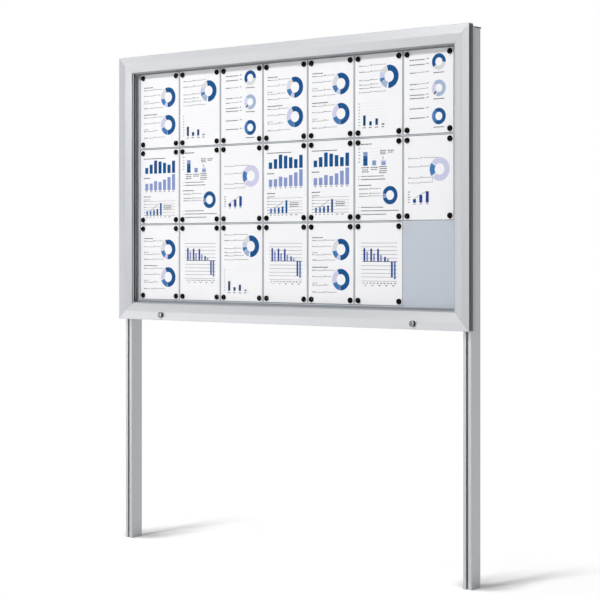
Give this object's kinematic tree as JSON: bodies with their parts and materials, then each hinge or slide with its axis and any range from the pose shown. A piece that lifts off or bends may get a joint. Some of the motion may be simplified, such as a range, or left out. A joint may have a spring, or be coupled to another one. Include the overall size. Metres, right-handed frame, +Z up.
{
  "type": "lockable notice board",
  "caption": "Outdoor notice board for A4 sheets on two posts: flat aluminium case, magnetic panel, top-hinged glazed door on gas struts, and cam locks in the lower rail.",
  "frame": {"origin": "on the ground, midway between the two posts and midway between the lock heads and the back of the post caps", "axes": "+X to the viewer's right along the board, +Y from the glass towards the posts, +Z up"},
  "size_m": [1.656, 0.101, 1.925],
  "materials": {
    "frame_aluminium": "satin silver anodised extrusion",
    "post_aluminium": "satin silver anodised extrusion",
    "panel_enamel": "pale blue-grey enamelled steel",
    "sheet_paper": "white printed paper with black magnets",
    "glass": "clear safety glass",
    "seal_rubber": "black rubber",
    "cap_plastic": "dark grey moulded plastic",
    "lock_chrome": "bright chrome plate",
    "zinc_steel": "zinc plated steel",
    "strut_black": "black painted tube"
  },
  "bodies": {
    "frame": {"post_left": "post_aluminium", "post_right": "post_aluminium", "post_cap_left": "cap_plastic", "post_cap_right": "cap_plastic", "post_bolt_left_upper": "zinc_steel", "post_bolt_left_lower": "zinc_steel", "post_bolt_right_upper": "zinc_steel", "post_bolt_right_lower": "zinc_steel", "case_left_stile": "frame_aluminium", "case_right_stile": "frame_aluminium", "case_top_rail": "frame_aluminium", "case_bottom_rail": "frame_aluminium", "back_panel": "panel_enamel", "weather_seal": "seal_rubber", "hinge_case_leaf": "frame_aluminium", "hinge_rod": "zinc_steel", "posted_sheet_1_1": "sheet_paper", "posted_sheet_1_2": "sheet_paper", "posted_sheet_1_3": "sheet_paper", "posted_sheet_1_4": "sheet_paper", "posted_sheet_1_5": "sheet_paper", "posted_sheet_1_6": "sheet_paper", "posted_sheet_1_7": "sheet_paper", "posted_sheet_2_1": "sheet_paper", "posted_sheet_2_2": "sheet_paper", "posted_sheet_2_3": "sheet_paper", "posted_sheet_2_4": "sheet_paper", "posted_sheet_2_5": "sheet_paper", "posted_sheet_2_6": "sheet_paper", "posted_sheet_2_7": "sheet_paper", "posted_sheet_3_1": "sheet_paper", "posted_sheet_3_2": "sheet_paper", "posted_sheet_3_3": "sheet_paper", "posted_sheet_3_4": "sheet_paper", "posted_sheet_3_5": "sheet_paper", "posted_sheet_3_6": "sheet_paper"},
    "door": {"door_left_stile": "frame_aluminium", "door_right_stile": "frame_aluminium", "door_top_rail": "frame_aluminium", "door_bottom_rail": "frame_aluminium", "hinge_door_leaf": "frame_aluminium", "door_glass": "glass", "glazing_gasket": "seal_rubber", "door_cleat_bottom_left": "zinc_steel", "door_cleat_bottom_right": "zinc_steel", "door_cleat_top_right": "zinc_steel", "door_cleat_top_left": "zinc_steel", "lock_housing_left": "lock_chrome", "lock_housing_right": "lock_chrome", "lock_nut_left": "zinc_steel", "lock_nut_right": "zinc_steel"},
    "lock_left": {"lock_plug_left": "lock_chrome", "lock_cam_left": "zinc_steel"},
    "lock_right": {"lock_plug_right": "lock_chrome", "lock_cam_right": "zinc_steel"},
    "strut_left_tube": {"strut_tube_left": "strut_black"},
    "strut_left_rod": {"strut_rod_left": "lock_chrome"},
    "strut_right_tube": {"strut_tube_right": "strut_black"},
    "strut_right_rod": {"strut_rod_right": "lock_chrome"}
  },
  "joints": [
    {"name": "door_hinge", "type": "hinge", "parent": "frame", "child": "door", "pos_m": [0, -0.00815, 1.92], "axis": [-1, 0, 0], "range_deg": [0, 80]},
    {"name": "lock_left_turn", "type": "hinge", "parent": "door", "child": "lock_left", "pos_m": [-0.598, -0.04115, 0.901], "axis": [0, 1, 0], "range_deg": [0, 90]},
    {"name": "lock_right_turn", "type": "hinge", "parent": "door", "child": "lock_right", "pos_m": [0.598, -0.04115, 0.901], "axis": [0, -1, 0], "range_deg": [0, 90]},
    {"name": "strut_left_swing", "type": "hinge", "parent": "frame", "child": "strut_left_tube", "pos_m": [-0.806, -0.02415, 1.52], "axis": [1, 0, 0], "range_deg": [0, 14]},
    {"name": "strut_left_extend", "type": "slide", "parent": "strut_left_tube", "child": "strut_left_rod", "axis": [0, -0.0179, 0.9998], "range_m": [0, 0.134]},
    {"name": "strut_right_swing", "type": "hinge", "parent": "frame", "child": "strut_right_tube", "pos_m": [0.806, -0.02415, 1.52], "axis": [1, 0, 0], "range_deg": [0, 14]},
    {"name": "strut_right_extend", "type": "slide", "parent": "strut_right_tube", "child": "strut_right_rod", "axis": [0, -0.0179, 0.9998], "range_m": [0, 0.134]}
  ],
  "couplings": [
    {"joint": "strut_left_swing", "follows": "door_hinge", "ratio": 0.17251},
    {"joint": "strut_left_extend", "follows": "door_hinge", "m_per_rad": 0.095659},
    {"joint": "strut_right_swing", "follows": "door_hinge", "ratio": 0.17251},
    {"joint": "strut_right_extend", "follows": "door_hinge", "m_per_rad": 0.095659}
  ]
}
